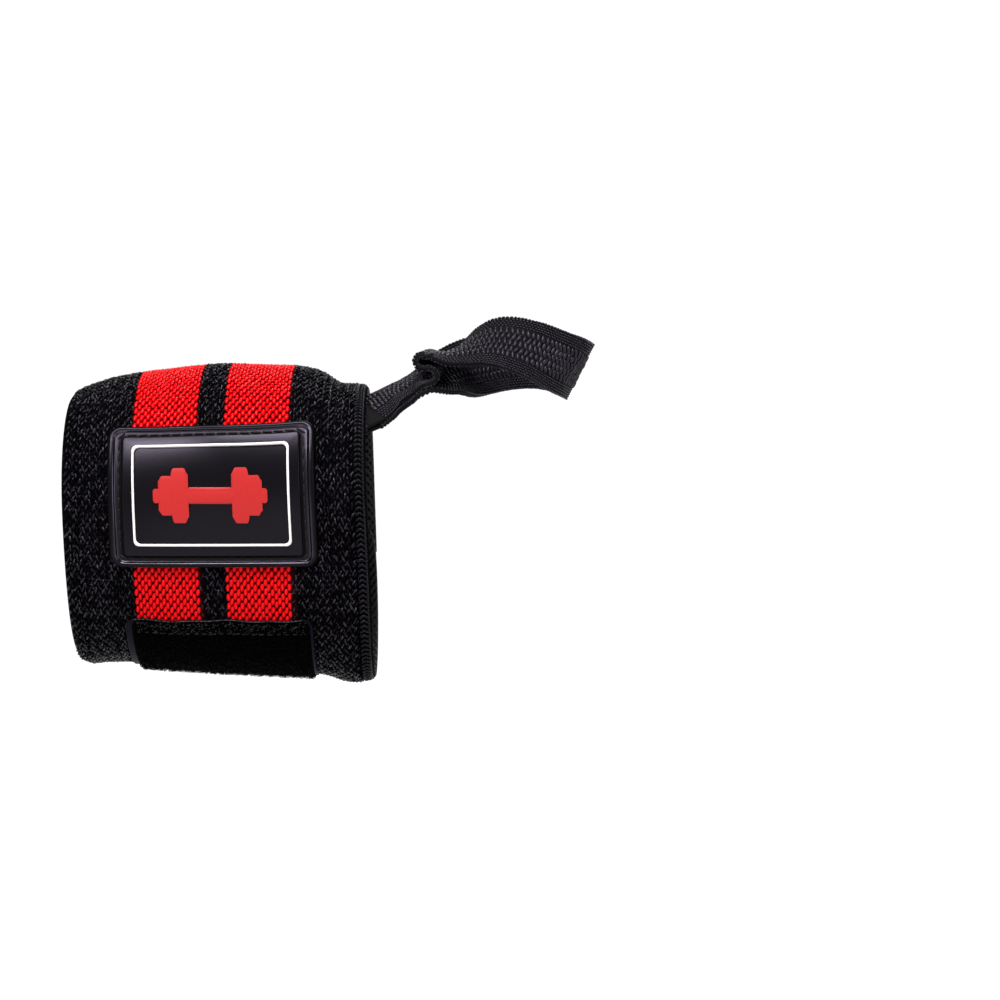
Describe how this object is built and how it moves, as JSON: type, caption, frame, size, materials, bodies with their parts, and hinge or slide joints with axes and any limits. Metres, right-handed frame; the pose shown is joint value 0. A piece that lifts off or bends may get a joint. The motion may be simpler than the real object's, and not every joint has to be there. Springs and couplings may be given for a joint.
{
  "type": "wrist wrap",
  "caption": "Elastic webbing wrap wound round a left wrist, with a webbing thumb loop, a moulded rubber patch and a hook-and-loop closure.",
  "frame": {"origin": "middle of the wrist's hollow, half way along the band's width", "axes": "+X along the forearm towards the fingers, +Z towards the thumb side, -Y towards the palm side"},
  "size_m": [0.1424, 0.0639, 0.0992],
  "materials": {
    "elastic_webbing": "woven elastic webbing, black with two red stripes",
    "strap_webbing": "ribbed woven webbing",
    "patch_rubber": "moulded soft rubber, satin face and glossy rim",
    "white_rubber": "moulded soft rubber, satin",
    "red_rubber": "moulded soft rubber, satin",
    "loop_pile": "fuzzy knitted loop pile with bare selvages",
    "hook_tape": "hook tape back"
  },
  "bodies": {
    "root": {"elastic_band": "elastic_webbing", "thumb_loop": "strap_webbing", "rubber_patch": "patch_rubber", "patch_frame_inlay": "white_rubber", "patch_dumbbell_inlay": "red_rubber", "loop_panel": "loop_pile", "hook_tab": "hook_tape"}
  },
  "joints": []
}
